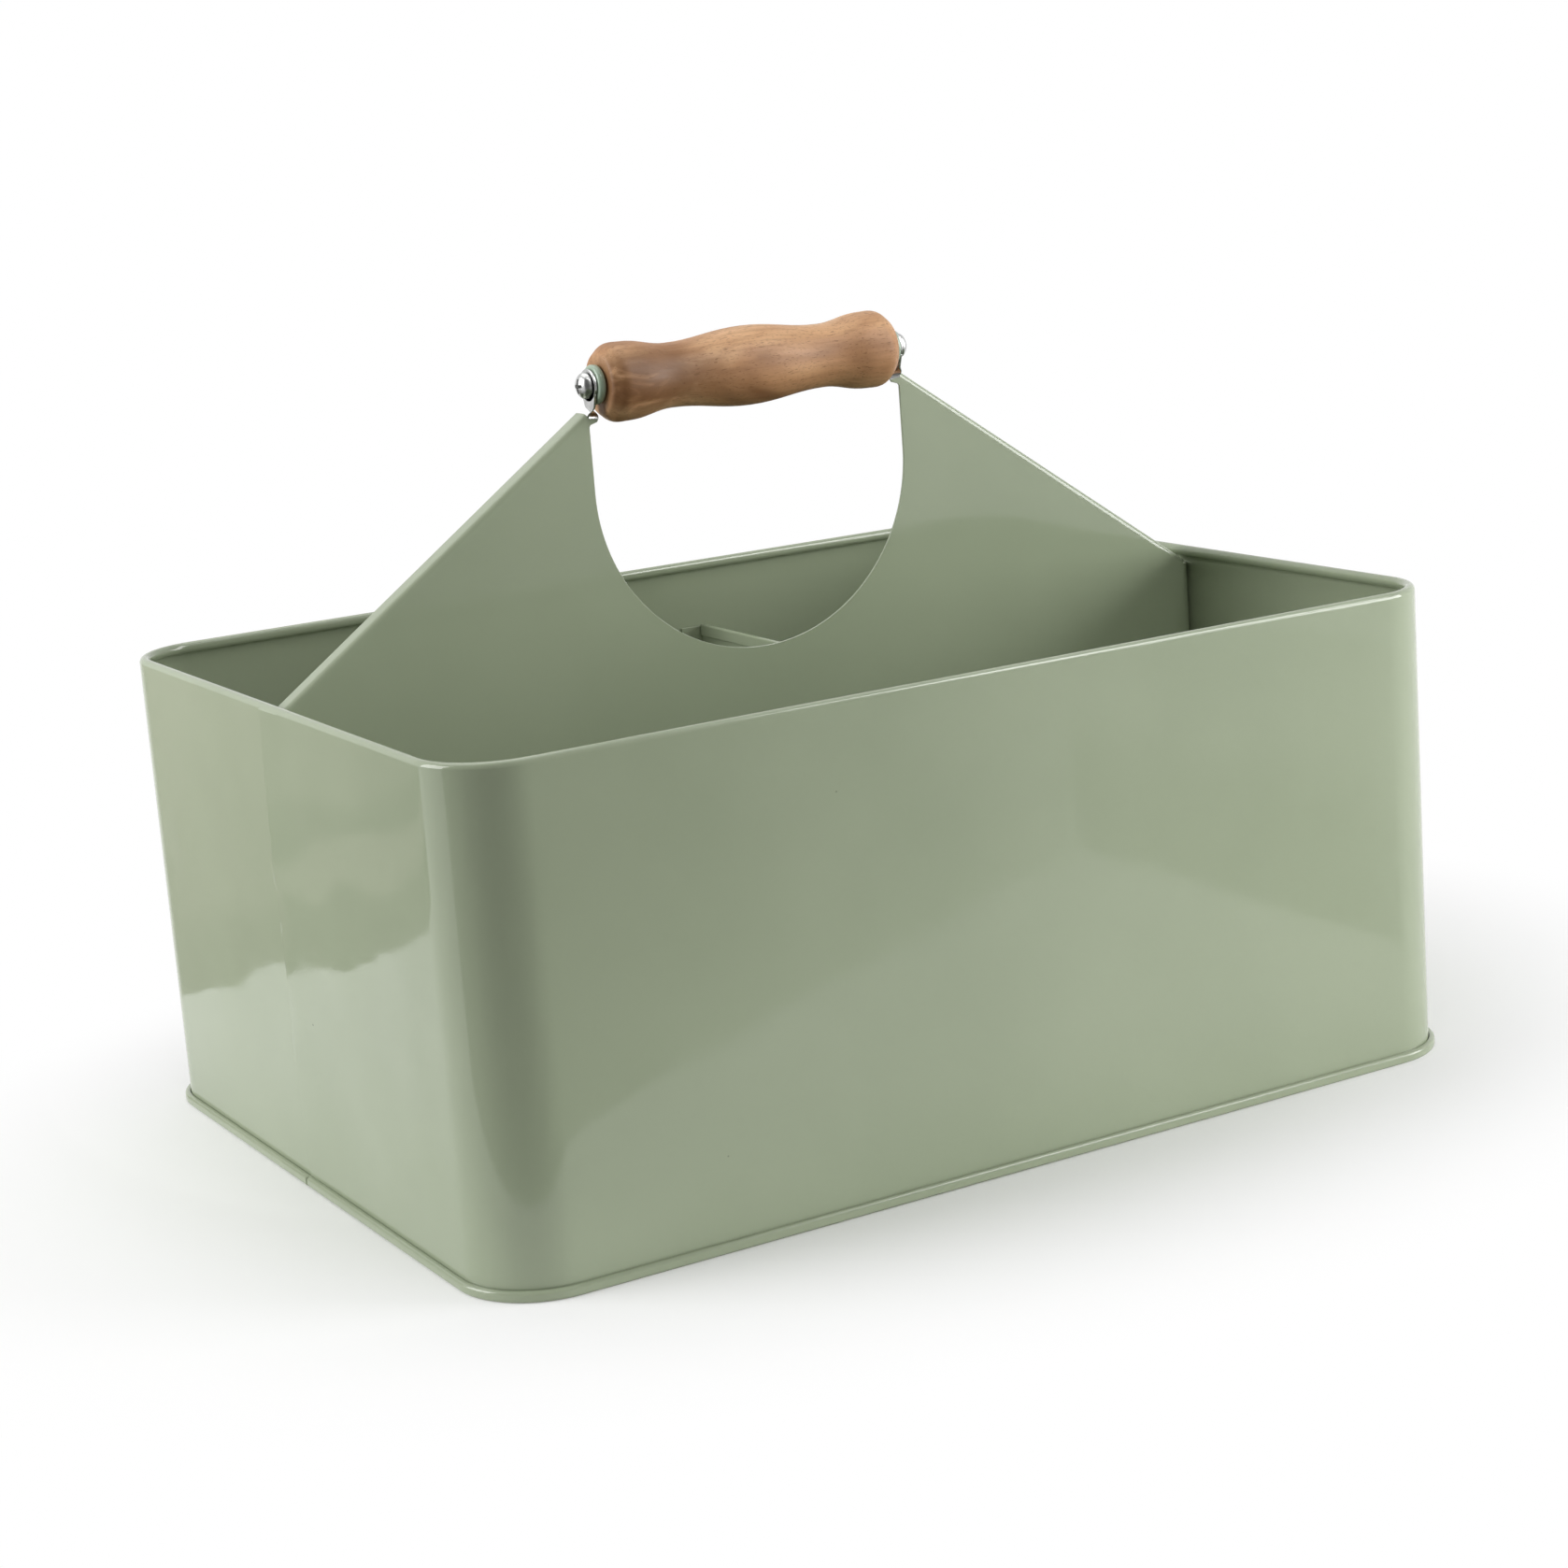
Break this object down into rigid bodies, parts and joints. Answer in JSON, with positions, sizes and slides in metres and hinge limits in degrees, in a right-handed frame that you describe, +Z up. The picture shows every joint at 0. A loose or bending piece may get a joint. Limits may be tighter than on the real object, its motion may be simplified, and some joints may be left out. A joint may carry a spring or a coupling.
{
  "type": "divided storage caddy",
  "caption": "Open rectangular sheet-metal caddy with rounded corners, a carrying plate with a hand hole, a turned wooden grip and an inner divider, for sorting and carrying seed packets.",
  "frame": {"origin": "on the ground under the middle of the box", "axes": "+X along the length to the right, +Y to the back, +Z up; the divided half is at the back"},
  "size_m": [0.3844, 0.2944, 0.2721],
  "materials": {
    "enamel": "glossy sage-green paint over thin steel sheet",
    "washer_paint": "glossy paler green paint",
    "wood": "oiled turned hardwood, grain along the grip",
    "zinc": "bright zinc plating"
  },
  "bodies": {
    "box": {"wall_wrap": "enamel", "floor_panel": "enamel", "carrying_plate": "enamel", "cross_divider": "enamel"},
    "handle": {"grip": "wood", "washer_left": "washer_paint", "washer_right": "washer_paint", "screw_left": "zinc", "screw_right": "zinc"}
  },
  "joints": [
    {"name": "grip_spin", "type": "hinge", "parent": "box", "child": "handle", "pos_m": [0, 0, 0.2582], "axis": [1, 0, 0], "continuous": true}
  ]
}
